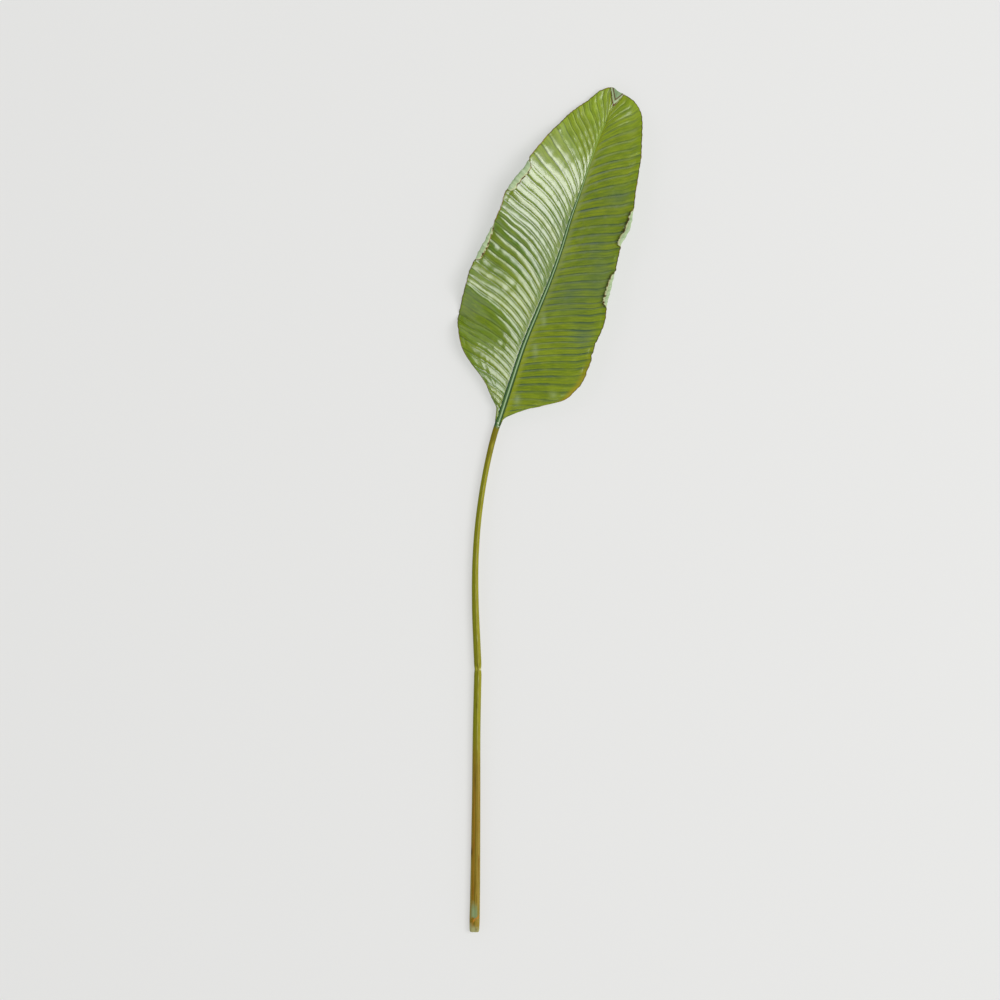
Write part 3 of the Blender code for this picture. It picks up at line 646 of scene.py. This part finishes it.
def waxy_upper(colours):
    """Upper face of a banana leaf, a living cuticle with a thin wax bloom: satin green with soft broad sheen.

    Ribs stand 9 to 13 mm apart. On the left half each is a thin dark line, on the right a blue-green line
    that painted shade widens into a soft band as wide as a third of the gap, sharp on the side of the tip.
    The small veins between them are about 1 mm apart, drawn at a ninth of the rib spacing so that they
    still show. The left half is painted darker as painted shade, a dark line of painted shade runs along
    the foot of the midrib, and pale painted glints lie beside the midrib on the right half.
    """
    material, tree, shader = new_material("living_leaf_upper_waxy")
    strip, number, run = sheet_place(tree)
    right = add(tree, "Math", {0: strip, 1: 0.5}, operation="GREATER_THAN")
    past_rib = add(tree, "Math", {0: number}, operation="FRACT")
    place = add(tree, "TexCoord", out="Object")
    names = ("edge_mm", "ridge_mm", "tip", "bloom", "turning", "rib_fade", "wax", "beside", "painted_glint")
    edge, ridge, tip, bloom, turning, faint, wax, yellow, painted_glint = (
        add(tree, "Attribute", out="Fac", attribute_name=name) for name in names
    )

    gap = add(tree, "Math", {0: number}, operation="FLOOR")
    band = add(tree, "TexWhiteNoise", {"W": gap}, noise_dimensions="1D")
    strength = add(tree, "MapRange", {0: band, 3: 0.55, 4: 1.0})
    streak = sheet_noise(tree, number, run, 2.2, 6.0, 3.0)
    fine = sheet_noise(tree, number, run, 9.0, 14.0)
    patch = add(tree, "TexNoise", {"Vector": place, "Scale": 22.0, "Detail": 2.0})
    worn_off = add(tree, "TexNoise", {"Vector": place, "Scale": 34.0, "Detail": 3.0})
    patchy = add(tree, "MapRange", {0: worn_off, 1: 0.38, 2: 0.62, 3: 0.45, 4: 1.0}, **SOFT)
    third = to_vein(tree, number, 3.0, 0.12)
    small = to_vein(tree, number, 9.0)

    # Each rib is a dark line; on the right half painted shade widens it into a soft band
    stripe_width = add(tree, "MapRange", {0: right, 3: 0.11, 4: 0.40})
    shaded_side = add(tree, "MapRange", {0: past_rib, 1: stripe_width, 2: 0.02, 3: 0.0, 4: 1.0}, **SOFT)
    sharp_side = add(tree, "MapRange", {0: past_rib, 1: 0.93, 2: 0.99, 3: 0.0, 4: 1.0}, **SOFT)
    rib_line_and_shade = add(tree, "Math", {0: shaded_side, 1: sharp_side}, operation="MAXIMUM")
    rib_colour = laid_over(tree, colours.rib_left, (colours.rib, right))

    ragged = sheet_noise(tree, number, run, 5.0, 20.0)
    ragged = add(tree, "Math", {0: ragged, 1: -1.6, 2: edge}, operation="MULTIPLY_ADD")
    dry = laid_over(tree, colours.dry, ("#8E701C", (worn_off, 0.45, 0.65, 0.0, 0.8)))
    base = laid_over(
        tree,
        # Painted shade: the left half starts from a darker green
        colours.blade_left_shaded,
        (colours.blade, right),
        (colours.blade_tip, tip),
        (colours.blade_light, band, 0.42),  # each gap between two ribs has its own shade
        ("#516C10", (streak, 0.30, 0.70, 0.0, 0.50)),  # dark streaks
        (colours.blade_light, (fine, 0.45, 0.75, 0.0, 0.38)),  # light streaks
        ("#93A82C", (patch, 0.45, 0.75, 0.0, 0.3)),  # light patches
        (colours.bloom, (patch, 0.30, 0.60, 0.35, 1.0), bloom),
        (rib_colour, (small, 0.0, 0.25, 0.20, 0.0)),  # small veins
        (rib_colour, (third, 0.04, 0.24, 0.24, 0.0), patchy),  # fainter ribs at each third of a gap
        # Rib lines, on the right half widened by painted shade
        (rib_colour, rib_line_and_shade, faint, strength, patchy),
        (colours.blade_light, yellow),
        # Painted glints: pale highlights beside the midrib on the right half
        ("#B4C690", painted_glint, patchy),
        # Painted shade along the foot of the midrib
        (colours.midrib_shade_line, (ridge, 0.2, 1.2, 0.7, 0.0)),
        (colours.warm, (edge, 0.5, 13.0, 0.8, 0.0), turning),
        (dry, (ragged, -0.2, 1.0, 0.9, 0.0)),
    )

    scuffed = add(tree, "TexNoise", {"Vector": place, "Scale": 60.0, "Detail": 3.0})
    rough = add(tree, "MapRange", {0: scuffed, 1: 0.3, 2: 0.7, 3: 0.36, 4: 0.48}, **SOFT)
    grain = add(tree, "MapRange", {0: small, 1: 0.0, 2: 0.3, 3: 0.0, 4: 0.5}, **SOFT)
    valley = add(tree, "MapRange", {0: to_vein(tree, number, 1.0), 1: 0.0, 2: 0.08, 3: 0.0, 4: 1.0}, **SOFT)
    height = add(tree, "Math", {0: grain, 1: valley}, operation="ADD")
    bump = add(tree, "Bump", {"Height": height, "Strength": 0.5, "Distance": 0.0002})
    sheen = {"Specular IOR Level": 0.12, "Coat Weight": wax, "Coat Roughness": 0.24, "Coat IOR": 1.85}
    fill(tree, shader, {"Base Color": base, "Roughness": rough, "IOR": 1.5, "Normal": bump, **sheen})
    return material


def matt_underside(colours):
    """Underside of the leaf, covered in powdery wax: pale, matt and greyer, with its ribs standing out.

    On the turned-over margins it is paler, with a cream border and a brown rim that has dried in spots.
    On the turned-over tip a paler band with a thin red-brown line on its inner side follows the margin.
    """
    material, tree, shader = new_material("living_leaf_underside_powdery")
    _, number, run = sheet_place(tree)
    names = ("edge_mm", "fold_mm", "flap")
    edge, fold, flap = (add(tree, "Attribute", out="Fac", attribute_name=name) for name in names)
    near = to_vein(tree, number, 1.0)
    streak = sheet_noise(tree, number, run, 3.0, 6.0)
    ragged = sheet_noise(tree, number, run, 6.0, 20.0)
    ragged = add(tree, "Math", {0: ragged, 1: -2.4, 2: edge}, operation="MULTIPLY_ADD")
    place = add(tree, "TexCoord", out="Object")
    dried = add(tree, "TexNoise", {"Vector": place, "Scale": 170.0, "Detail": 2.0})
    ragged = add(tree, "Math", {0: dried, 1: -8.0, 2: ragged}, operation="MULTIPLY_ADD")
    burnt = laid_over(tree, linear("#86661A"), ("#2E2202", (dried, 0.46, 0.62, 0.0, 0.8)))
    base = laid_over(
        tree,
        colours.underside_deep,
        (colours.underside, (edge, 7.0, 16.0, 1.0, 0.0), flap),
        ("#86A274", (streak, 0.35, 0.70, 0.0, 0.55)),
        ("#C3D3B4", (near, 0.02, 0.12, 0.5, 0.0)),  # ribs
        ("#8CA678", (fold, 4.4, 5.2, 0.0, 1.0)),  # inside of the folded tip
        ("#5E3C12", drawn_line(tree, fold, 4.8, 0.5, 1.1, 0.92)),  # its line
        ("#D2D6A4", (edge, 1.8, 3.6, 0.7, 0.0), flap),  # cream border
        (burnt, (ragged, -4.5, -3.2, 1.0, 0.0), (dried, 0.40, 0.56, 0.45, 1.0)),
        ("#6E3A1C", (fold, 1.0, 1.7, 1.0, 0.0)),  # red rim of the folded tip
    )
    raised = add(tree, "MapRange", {0: near, 1: 0.0, 2: 0.1, 3: 1.0, 4: 0.0}, **SOFT)
    bump = add(tree, "Bump", {"Height": raised, "Strength": 0.6, "Distance": 0.0003})
    fill(tree, shader, {"Base Color": base, "Roughness": 0.6, "IOR": 1.42, "Normal": bump})
    return material


def stalk_skin(colours):
    """Skin of the stalk and midrib, smooth fibrous plant skin: satin olive, browner where it is oldest.

    Fibres run along it about 1 mm apart, with a broken painted highlight along the top beside the
    groove, and painted shade darkens the groove. Left of the groove it is painted as a shaded copy of its
    colours and right of it as a lit copy, and its left edge is painted paler, as painted light. Near the
    cut end it is bleached, with a patch of grey-green mould and a rust-coloured scratch. The old fold
    shows as two dark lines of painted shade in its creases and a pale band of painted highlight on its
    right side, and dark scars and fresh yellow-green spots lie along it. The midrib is a pale ridge with a
    painted highlight right of its middle, between two dark green lines of painted shade on its upper face.
    """
    material, tree, shader = new_material("petiole_skin_fibrous")
    names = ("along_mm", "side", "over", "scar", "fresh")
    along, side, over, scar, fresh = (
        add(tree, "Attribute", out="Fac", attribute_name=name) for name in names
    )
    upper = add(tree, "MapRange", {0: over, 1: -0.3, 2: 0.1, 3: 0.0, 4: 1.0}, **SOFT)
    young = add(tree, "MapRange", {0: along, 1: 200.0, 2: 300.0, 3: 0.0, 4: 1.0}, **SOFT)
    old = add(tree, "Math", {0: 1.0, 1: young}, operation="SUBTRACT")
    # Lit copy of the stalk colours for the right flank: painted light
    light = laid_over(tree, colours.stalk_low_lit_flank, (colours.stalk_lit_flank, young))
    # Painted shade in the groove
    groove = drawn_line(tree, side, -0.06, 0.05, 0.20, 0.6)
    # Painted highlight beside the groove
    crest_highlight = drawn_line(tree, side, 0.22, 0.05, 0.22, 0.75)

    stretched = add(tree, "Math", {0: along, 1: 0.05}, operation="MULTIPLY")
    wrapped = add(tree, "Math", {0: side, 1: 5.0}, operation="MULTIPLY")
    place = add(tree, "CombineXYZ", {0: stretched, 1: wrapped})
    fibre = add(tree, "TexNoise", {"Vector": place, "Scale": 1.0, "Detail": 4.0})
    stained = add(tree, "TexNoise", {"Vector": place, "Scale": 0.45, "Detail": 3.0})
    broken = add(tree, "TexNoise", {"Vector": place, "Scale": 1.7, "Detail": 3.0})
    solid = add(tree, "TexCoord", out="Object")
    beaded = add(tree, "TexNoise", {"Vector": solid, "Scale": 260.0, "Detail": 2.0})

    ragged = add(tree, "Math", {0: beaded, 1: -9.0, 2: along}, operation="MULTIPLY_ADD")
    ragged = add(tree, "Math", {0: side, 1: 3.0, 2: ragged}, operation="MULTIPLY_ADD")
    mould = (ragged, 13.0, 16.0, 0.0, 0.75)
    mould_end = (ragged, 25.0, 42.0, 1.0, 0.0)
    mould_side = drawn_line(tree, side, -0.08, 0.45, 0.70, 1.0, 0.1)
    slant = add(tree, "Math", {0: side, 1: -6.4, 2: along}, operation="MULTIPLY_ADD")
    slant = add(tree, "Math", {0: beaded, 1: 3.0, 2: slant}, operation="MULTIPLY_ADD")
    rust = drawn_line(tree, slant, 19.0, 0.8, 2.6, 0.75)
    rust_side = drawn_line(tree, side, 0.25, 0.45, 0.65, 1.0)
    # Painted shade in the creases of the old fold
    fold_crease_shade = add(tree, "Math", {0: side}, operation="ABSOLUTE")
    fold_crease_shade = add(tree, "Math", {0: fold_crease_shade, 1: -14.0, 2: along}, operation="MULTIPLY_ADD")
    fold_crease_shade = drawn_line(tree, fold_crease_shade, CREASE_AT, 0.3, 1.6, 0.5)
    # Painted highlight on the right side of the old fold
    fold_highlight = drawn_line(tree, along, CREASE_AT, 0.5, 2.2, 0.85)

    leafward = add(tree, "MapRange", {0: along, 1: 716.0, 2: 723.0, 3: 0.0, 4: 1.0}, **SOFT)
    # Pale line right of the midrib's middle: its own paler colour with a painted highlight
    pale = drawn_line(tree, side, 0.16, 0.10, 0.30, 0.95)
    base = laid_over(
        tree,
        # Shaded copy of the stalk colours for the left flank: painted shade
        laid_over(tree, colours.stalk_low, (colours.stalk_shaded_flank, young)),
        (light, (side, -0.12, 0.10, 0.0, 1.0)),
        ("#98984E", (side, -0.95, -0.55, 0.65, 0.0)),  # left edge painted paler: painted light on an edge turned from the lamp
        ("#8A8230", (side, 0.60, 0.95, 0.0, 0.45)),  # right flank
        ("#746A14", (fibre, 0.35, 0.75, 0.0, 0.45)),  # fibres
        ("#805408", (stained, 0.50, 0.66, 0.0, 0.6), old),  # brown stains
        # Painted shade darkening the groove
        ("#5C5C00", groove, upper),
        # Painted highlight along the top beside the groove
        ("#C2C07A", crest_highlight, young, (broken, 0.42, 0.66, 0.1, 1.0), upper),
        ("#AEB07C", (ragged, -2.0, 9.0, 0.75, 0.0)),  # bleached end
        ("#84A074", mould, mould_end, mould_side, upper),
        ("#C07F24", rust, rust_side, upper),
        # Painted shade in the two creases of the old fold
        ("#6A6400", fold_crease_shade),
        # Painted highlight: a pale band on the right side of the old fold
        ("#D6CE90", fold_highlight, (side, 0.25, 0.75, 0.0, 1.0)),
        ("#75680E", (along, 640.0, 700.0, 0.0, 0.7)),  # neck under the blade
        ("#B8B23E", fresh),
        ("#3E2C08", scar),
        (colours.midrib_side, leafward),
        # The midrib's pale line, partly a painted highlight
        (colours.midrib, pale, leafward),
        (colours.midrib_shade_line, (side, -0.66, -0.48, 0.95, 0.0), leafward, upper),  # left line: painted shade on the midrib's left flank
        ("#35502A", (side, 0.46, 0.62, 0.0, 0.95), leafward, upper),  # right line: painted shade at the midrib's right foot
        ("#8CA63C", (along, 1040.0, 1160.0, 0.0, 0.9), upper),  # green end
    )
    bump = add(tree, "Bump", {"Height": fibre, "Strength": 0.4, "Distance": 0.0003})
    links = {"Base Color": base, "Roughness": 0.46, "IOR": 1.45, "Specular IOR Level": 0.1}
    fill(tree, shader, {**links, "Normal": bump})
    return material


def cut_pith(colours):
    """Cut face of the stalk, wet spongy pith: pale cream green, rough, with small pores about 0.6 mm wide."""
    material, tree, shader = new_material("cut_stalk_pith")
    place = add(tree, "TexCoord", out="Object")
    pores = add(tree, "TexVoronoi", {"Vector": place, "Scale": 900.0})
    base = laid_over(tree, colours.cut, ("#9A9A5C", (pores, 0.1, 0.5, 0.4, 0.0)))
    bump = add(tree, "Bump", {"Height": pores, "Strength": 0.5, "Distance": 0.0004})
    fill(tree, shader, {"Base Color": base, "Roughness": 0.65, "IOR": 1.4, "Normal": bump})
    return material


def dried_sap():
    """Beads of sap that dried on the stalk: hard, smooth and glossy, milky with a faint green cast."""
    material, tree, shader = new_material("dried_sap_glossy")
    place = add(tree, "TexCoord", out="Object")
    cloud = add(tree, "TexNoise", {"Vector": place, "Scale": 700.0, "Detail": 2.0})
    base = laid_over(tree, linear("#E9EDDA"), ("#B9C79E", cloud))
    fill(tree, shader, {"Base Color": base, "Roughness": 0.12, "IOR": 1.5})
    return material


def opal_table(settings):
    """Opal sheet of a light table: even, matt and very pale, with a faint tooth, lit a little from below."""
    material, tree, shader = new_material("light_table_opal_matt")
    place = add(tree, "TexCoord", out="Object")
    tooth = add(tree, "TexNoise", {"Vector": place, "Scale": 3.0})
    base = laid_over(tree, settings.floor, ("#90908F", (tooth, 0.3, 0.7, 0.0, 0.04)))
    links = {"Base Color": base, "Roughness": 0.9, "IOR": 1.4}
    fill(tree, shader, {**links, "Emission Color": settings.floor, "Emission Strength": settings.floor_glow})
    return material


def inside_fold(points, band):
    """Distance in plan from the two free edges of the turned-over tip, in millimetres."""
    ends = points[:, -1, :2]
    share = band["share"][:, 0]
    peak = int(np.argmax(share))
    before = int(np.argmin(np.abs(share[:peak] - LEFT_ROLL[-2][0])))
    after = peak + int(np.argmin(np.abs(share[peak:] - RIGHT_ROLL[-2][0])))
    gaps = []
    for corner in (before, after):
        line = ends[peak] - ends[corner]
        away = points[..., :2] - ends[corner]
        gaps.append(np.abs(line[0] * away[..., 1] - line[1] * away[..., 0]) / np.linalg.norm(line))
    return np.minimum(*gaps)


def blade_masks(points, band, right):
    """Broad shares that colour the sheet: tip, bloom, turning margin, turned edges, wax and fading ribs.

    The bloom is the sum of round spots around centres on the outer right half, and the painted glints,
    pale highlights beside the midrib, are summed in the same way. The stripes of the right half, dark
    lines widened by painted shade, start 1 mm from the midrib, are full at 11, and fade near the margin
    where it is lowest and near the tip. Along the right side of the midrib the sheet is yellow-green. The
    wax is thinner near the base, along the margin, beside the midrib near the tip and on the right of the
    tip. The flap is the part of a turned edge that shows its underside, and fold_mm is known on the folded
    tip alone.
    """
    x, y = points[..., 0], points[..., 1]
    share, ridge, edge = band["share"], band["ridge"], band["edge"]
    inner = ease(1.0, 11.0, ridge)
    ends = np.maximum(1 - ease(0.10, 0.22, share), ease(0.80, 0.95, share))
    outer = 1 - ends * (1 - ease(0.0, 14.0, edge))
    waxed = 0.72 + 0.28 * ease(280.0, 420.0, y)
    waxed = waxed * (1 - 0.70 * ease(0.80, 0.88, share) * right)
    waxed = waxed * (1 - 0.9 * (1 - ease(4.0, 14.0, edge)) * right)
    waxed = waxed * (1 - 0.9 * ease(0.76, 0.84, share) * (1 - ease(3.0, 9.0, ridge)))
    striped = (0.15 + 0.85 * inner * outer) * (1 - 0.5 * ease(0.75, 0.9, share))
    folded = (share > TIGHT_FROM) & (band["flap"] > 0)
    return {
        "tip": ease(400.0, 580.0, y) * (1 - 0.6 * right),
        "bloom": np.clip(round_spots(x, y, BLOOM_SPOTS), 0, 1) * 0.5 * right,
        # Painted glints beside the midrib
        "painted_glint": np.clip(round_spots(x, y, GLINT_SPOTS), 0, 1) * 0.6 * right,
        "turning": (1 - ease(150.0, 240.0, y)) * ease(0.0, 30.0, x),
        "beside": (1 - ease(4.0, 11.0, ridge)) * right * (0.6 - 0.4 * ease(0.15, 0.35, share)),
        "wax": waxed * (1 - 0.65 * (1 - ease(1.0, 5.0, edge))),
        "flap": band["flap"],
        "fold_mm": np.where(folded, inside_fold(points, band), NO_FOLD),
        "rib_fade": np.where(right, striped, 0.9),
    }


def make_blade(context):
    """Both halves as one band that runs up the left side, round the tip and down the right side."""
    sizes = context.scene.leaf_sizes
    colours = context.scene.leaf_colours
    left = half_blade(sizes, *LEFT_HALF)
    right = half_blade(sizes, *RIGHT_HALF)
    for key in ("points", "pleat", "gone", "edge", "ridge"):
        shared = (left[key][-1] + right[key][-1]) / 2
        left[key][-1] = shared
    band = {key: np.concatenate([left[key], right[key][-2::-1]]) for key in left}
    strip = np.concatenate([left["rib"] / (2 * RIBS), 1 - right["rib"][-2::-1] / (2 * RIBS)])
    points = band["points"] + grid_normals(band["points"]) * band["pleat"][..., None]
    normals = grid_normals(points)
    half = sizes.thickness / MM / 2
    upper = points + normals * half
    lower = points - normals * half
    lower[..., 2] = np.maximum(lower[..., 2], FLOOR_GAP)
    rows, columns = upper.shape[:2]
    total = rows * columns
    top = grid_faces(rows, columns)
    bottom = grid_faces(rows, columns, total)[:, ::-1]
    index = np.arange(total).reshape(rows, columns)
    loop = np.concatenate([index[0, :-1], index[:-1, -1], index[-1, :0:-1], index[:0:-1, 0]])
    after = np.roll(loop, -1)
    rim = np.stack([loop, after, after + total, loop + total], axis=1)
    faces = np.concatenate([top, bottom, rim])
    slots = np.concatenate([np.zeros(len(top)), np.ones(len(bottom) + len(rim))])
    both = np.concatenate([upper.reshape(-1, 3), lower.reshape(-1, 3)]) * MM
    twice = {key + "_mm": np.tile(band[key].reshape(-1), 2) for key in ("edge", "ridge")}
    for key, values in blade_masks(points, band, strip > 0.5).items():
        twice[key] = np.tile(values.reshape(-1), 2)
    uv = np.tile(np.stack([strip.reshape(-1), band["gone"].reshape(-1) / RUN_UNIT], axis=1), (2, 1))
    materials = [waxy_upper(colours), matt_underside(colours)]
    piece = mesh_object("leaf_blade", both, faces, materials, slots, twice, uv)
    keep(piece)


def make_stalk(context):
    """One section swept along the middle line: squared below, grooved above, pinched at the old fold."""
    sizes = context.scene.leaf_sizes
    colours = context.scene.leaf_colours
    near_cut, rounded = np.array(ROUNDED_END).T
    at = np.concatenate([near_cut, np.linspace(RINGS_FROM, SPINE_END, RINGS)])
    middle = spine(at)
    step = np.gradient(middle, axis=0)
    sideways = unit(np.stack([step[:, 1], -step[:, 0], np.zeros(len(at))], axis=1))
    section = smooth(SECTION, at)
    crease = 1 - sizes.crease * hump(at, CREASE_AT, CREASE_WIDTH)
    half, over, under, groove = (section[:, k, None] for k in range(4))
    angles = np.linspace(0, 2 * math.pi, RING_POINTS + 1)[:-1][None]
    sine = np.sin(angles)
    dip = 1 - groove * hump(angles, math.pi / 2, GROOVE_ANGLE)
    above = over * np.abs(sine) ** UPPER_SQUARENESS * dip * crease[:, None]
    below = -under * np.abs(sine) ** UNDER_SQUARENESS
    height = np.where(sine >= 0, above, below)
    across = half * np.cos(angles) * crease[:, None]
    rounding = np.concatenate([rounded, np.ones(RINGS)])
    rings = middle[:, None] + sideways[:, None] * (across * rounding[:, None])[..., None]
    rings[..., 2] = np.maximum(rings[..., 2] + height * rounding[:, None], 0.0)
    rows, columns = rings.shape[:2]
    index = np.arange(rows * columns).reshape(rows, columns)
    turned = np.roll(index, -1, axis=1)
    skin = np.stack([index[:-1], turned[:-1], turned[1:], index[1:]], axis=-1).reshape(-1, 4)
    ends = rings[[0, -1]].mean(axis=1)
    points = np.concatenate([rings.reshape(-1, 3), ends]) * MM
    centre = rows * columns
    cut = np.stack([turned[0], index[0], np.full(columns, centre)], axis=1)
    tip = np.stack([index[-1], turned[-1], np.full(columns, centre + 1)], axis=1)
    faces = skin.tolist() + cut.tolist() + tip.tolist()
    slots = np.concatenate([np.zeros(len(skin)), np.ones(len(cut)), np.zeros(len(tip))])
    along = np.concatenate([np.repeat(at, columns), at[[0, -1]]])
    side = np.concatenate([np.tile(np.cos(angles[0]), rows), [0.0, 0.0]])
    scar, fresh = (MARK_STRENGTH * round_spots(along, side, spots) for spots in (STALK_SCARS, STALK_SPOTS))
    over = np.concatenate([np.tile(sine[0], rows), [0.0, 0.0]])
    masks = {"along_mm": along, "side": side, "over": over, "scar": scar, "fresh": fresh}
    materials = [stalk_skin(colours), cut_pith(colours)]
    piece = mesh_object("stalk_and_midrib", points, faces, materials, slots, masks)
    keep(piece)


def make_beads():
    """Two round beads half sunk in the stalk: a ball by its two angles, closed at both poles."""
    along = np.linspace(*BEADS_WITHIN)
    middle = spine(along)
    turns = np.linspace(0, 2 * math.pi, BEAD_ROUND + 1)[:-1]
    turn, tilt = np.meshgrid(turns, np.linspace(0, math.pi, BEAD_TALL + 1), indexing="ij")
    ball = np.stack([np.sin(tilt) * np.cos(turn), np.sin(tilt) * np.sin(turn), np.cos(tilt)], axis=-1)
    rows, columns = ball.shape[:2]
    index = np.arange(rows * columns).reshape(rows, columns)
    index[:, 0] = 0
    index[:, -1] = columns - 1
    turned = np.roll(index, -1, axis=0)
    quads = np.stack([index[:, :-1], index[:, 1:], turned[:, 1:], turned[:, :-1]], axis=-1)
    faces = [list(dict.fromkeys(corners)) for corners in quads.reshape(-1, 4).tolist()]
    used = sorted({k for face in faces for k in face})
    number = {k: new for new, k in enumerate(used)}
    faces = [[number[k] for k in face] for face in faces]
    material = dried_sap()
    for bead, (x, y, radius) in enumerate(BEADS):
        at = np.interp(y, middle[:, 1], along)
        over = smooth(SECTION, np.array([at]))[0, 1]
        centre = np.array([x, y, spine(np.array([at]))[0, 2] + over])
        points = (centre + ball.reshape(-1, 3)[used] * radius) * MM
        piece = mesh_object(f"sap_bead_{bead + 1}", points, faces, [material])
        keep(piece)


def make_stage(context):
    """Pale floor, a large softbox on the right, a white surround and the camera straight above."""
    scene = context.scene
    settings = scene.leaf_stage
    grid = np.linspace(-FLOOR_HALF, FLOOR_HALF, FLOOR_LINES)
    x, y = np.meshgrid(grid, grid, indexing="ij")
    points = np.stack([x, y, np.full_like(x, FLOOR_LEVEL)], axis=-1).reshape(-1, 3)
    floor = mesh_object("studio_floor", points, grid_faces(FLOOR_LINES, FLOOR_LINES), [opal_table(settings)])
    key = bpy.data.lights.new("key_softbox", "AREA")
    key.shape = "RECTANGLE"
    key.size, key.size_y = KEY_SIZES
    key.energy = settings.key_power
    lamp = bpy.data.objects.new("key_softbox", key)
    level = math.sin(KEY_FROM_ZENITH)
    aloft = math.cos(KEY_FROM_ZENITH)
    towards = Vector((level * math.cos(KEY_BEARING), level * math.sin(KEY_BEARING), aloft))
    lamp.location = Vector(KEY_AIM) + towards * KEY_DISTANCE
    lamp.rotation_euler = towards.to_track_quat("Z", "Y").to_euler()
    scene.collection.objects.link(lamp)
    world = bpy.data.worlds.new("white_surround")
    world.use_nodes = True
    tree = world.node_tree
    up = add(tree, "SeparateXYZ", {0: add(tree, "TexCoord", out="Generated")}).node.outputs[2]
    links = {0: up, 1: SKY_BRIGHT_UP_TO, 2: SKY_DIM_FROM, 3: settings.sky, 4: settings.sky * SKY_DIM_SHARE}
    bright = add(tree, "MapRange", links, **SOFT)
    fill(tree, tree.nodes["Background"], {"Color": (1.0, 1.0, 1.0), "Strength": bright})
    scene.world = world
    lens = bpy.data.cameras.new("camera")
    lens.lens = LENS
    lens.sensor_width = SENSOR
    camera = bpy.data.objects.new("camera", lens)
    camera.location = (*VIEW_CENTRE, LEAF_LEVEL + VIEW_WIDTH * LENS / SENSOR)
    scene.collection.objects.link(camera)
    scene.camera = camera
    scene.view_settings.view_transform = "Standard"
    scene.view_settings.look = "None"


class LEAF_OT_blade(bpy.types.Operator):
    """Builds the ribbed blade with its rolled edges"""

    bl_idname = "leaf.blade"
    bl_label = "Blade"

    def execute(self, context):
        make_blade(context)
        return {"FINISHED"}


class LEAF_OT_stalk(bpy.types.Operator):
    """Builds the stalk, the midrib and the cut end"""

    bl_idname = "leaf.stalk"
    bl_label = "Stalk and midrib"

    def execute(self, context):
        make_stalk(context)
        return {"FINISHED"}


class LEAF_OT_beads(bpy.types.Operator):
    """Builds the sap beads on the stalk"""

    bl_idname = "leaf.beads"
    bl_label = "Sap beads"

    def execute(self, context):
        make_beads()
        return {"FINISHED"}


class LEAF_OT_stage(bpy.types.Operator):
    """Builds the floor, the lights and the camera"""

    bl_idname = "leaf.stage"
    bl_label = "Stage"

    def execute(self, context):
        make_stage(context)
        return {"FINISHED"}


class LEAF_PT_panel(bpy.types.Panel):
    """Sidebar panel with the settings and the builders"""

    bl_idname = "LEAF_PT_panel"
    bl_label = "Banana leaf"
    bl_space_type = "VIEW_3D"
    bl_region_type = "UI"
    bl_category = "Banana leaf"

    def draw(self, context):
        layout = self.layout
        for group in (getattr(context.scene, name) for name in SETTINGS):
            box = layout.box()
            for key in group.__annotations__:
                box.prop(group, key)
        for operator in (LEAF_OT_blade, LEAF_OT_stalk, LEAF_OT_beads, LEAF_OT_stage):
            layout.operator(operator.bl_idname)


SETTINGS = {"leaf_sizes": LeafSizes, "leaf_colours": LeafColours, "leaf_stage": StageSettings}
CLASSES = (
    *SETTINGS.values(),
    LEAF_OT_blade,
    LEAF_OT_stalk,
    LEAF_OT_beads,
    LEAF_OT_stage,
    LEAF_PT_panel,
)


def register():
    """Makes the settings, operators and panel known to Blender."""
    for cls in CLASSES:
        bpy.utils.register_class(cls)
    for name, group in SETTINGS.items():
        setattr(bpy.types.Scene, name, PointerProperty(type=group))


def unregister():
    """Takes them out again."""
    for name in SETTINGS:
        delattr(bpy.types.Scene, name)
    for cls in reversed(CLASSES):
        bpy.utils.unregister_class(cls)


def main():
    """Builds the whole scene."""
    register()
    bpy.ops.leaf.blade()
    bpy.ops.leaf.stalk()
    bpy.ops.leaf.beads()
    bpy.ops.leaf.stage()
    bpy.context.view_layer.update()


if __name__ == "__main__":
    main()
